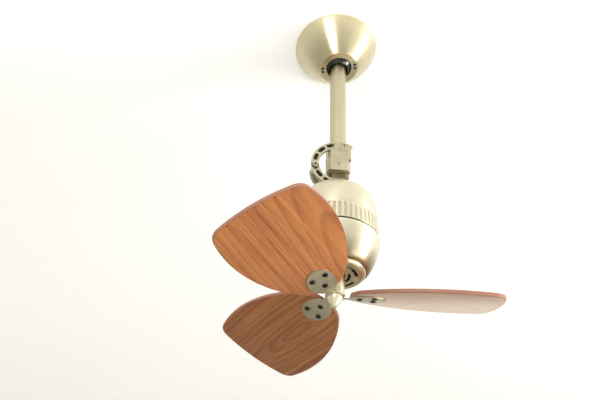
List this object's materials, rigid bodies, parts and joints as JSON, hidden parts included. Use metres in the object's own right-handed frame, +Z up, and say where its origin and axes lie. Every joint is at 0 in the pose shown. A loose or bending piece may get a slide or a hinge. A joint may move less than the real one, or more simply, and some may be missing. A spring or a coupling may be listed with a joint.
{
  "type": "ceiling fan",
  "caption": "Small ceiling fan with wooden blades on a tilting metal head, hung by a downrod from a bowl canopy on a sloped ceiling.",
  "frame": {"origin": "centre of the ceiling face of the bracket, on the sloped ceiling", "axes": "+Z straight up along the plumb downrod, +Y along the tilt pivot and away from the slotted arc, +X across the arc to its open side"},
  "size_m": [0.3891, 0.4256, 0.5195],
  "materials": {
    "brushed_brass": "pale brushed brass, clear coated",
    "cast_brass": "satin cast collar and knuckle in the same pale tone",
    "plated_steel": "zinc plated steel",
    "dark_steel": "blackened screw steel",
    "black_plastic": "glossy black moulding",
    "rubber_black": "matte black rubber",
    "lead_sleeve": "matte black sleeving",
    "white_plastic": "off-white moulding",
    "grey_plastic": "dark grey can",
    "lamination": "stacked steel laminations",
    "copper_wire": "enamelled copper wire",
    "stained_ply": "stained plywood, satin lacquer"
  },
  "bodies": {
    "ceiling_mount": {"ceiling_bracket": "plated_steel", "terminal_block": "white_plastic", "seat_pad": "rubber_black", "canopy": "brushed_brass", "canopy_screws": "dark_steel"},
    "hanger": {"hanger_ball": "black_plastic"},
    "rod": {"ball_pin": "plated_steel", "downrod": "brushed_brass", "rod_leads": "lead_sleeve", "tilt_yoke": "cast_brass", "yoke_set_screw": "dark_steel", "pivot_pin": "plated_steel", "pivot_nut": "dark_steel", "lock_screw": "dark_steel", "lock_spacer": "plated_steel"},
    "fan_head": {"tilt_knuckle": "cast_brass", "knuckle_nut": "plated_steel", "rear_housing": "brushed_brass", "ribbed_band": "brushed_brass", "front_housing": "brushed_brass", "front_cap": "brushed_brass", "cap_screws": "dark_steel", "rear_bearing_plate": "plated_steel", "front_bearing_plate": "plated_steel", "rear_bearing": "plated_steel", "front_bearing": "plated_steel", "stator_core": "lamination", "stator_windings": "copper_wire", "tie_bolts": "plated_steel", "motor_leads": "lead_sleeve", "run_capacitor": "grey_plastic"},
    "rotor": {"motor_shaft": "plated_steel", "rotor_core": "lamination", "blade_hub": "brushed_brass", "hub_set_screw": "dark_steel", "blade_carrier": "cast_brass", "backing_plates": "plated_steel", "blade_1": "stained_ply", "blade_2": "stained_ply", "blade_3": "stained_ply", "blade_screws": "dark_steel", "finial_nut": "brushed_brass"}
  },
  "joints": [
    {"name": "slope_swing", "type": "hinge", "parent": "ceiling_mount", "child": "hanger", "pos_m": [0.00242, -0.00663, -0.03632], "axis": [0.9397, 0.342, 0], "range_deg": [-28, 6]},
    {"name": "side_sway", "type": "hinge", "parent": "hanger", "child": "rod", "pos_m": [0.00242, -0.00663, -0.03632], "axis": [-0.342, 0.9397, 0], "range_deg": [-6, 6]},
    {"name": "head_tilt", "type": "hinge", "parent": "rod", "child": "fan_head", "pos_m": [0.00242, -0.00663, -0.26282], "axis": [0, 1, 0], "range_deg": [-53, 51]},
    {"name": "rotor_spin", "type": "hinge", "parent": "fan_head", "child": "rotor", "pos_m": [0.00067, -0.00663, -0.3628], "axis": [0.0175, 0, 0.9998], "continuous": true}
  ]
}
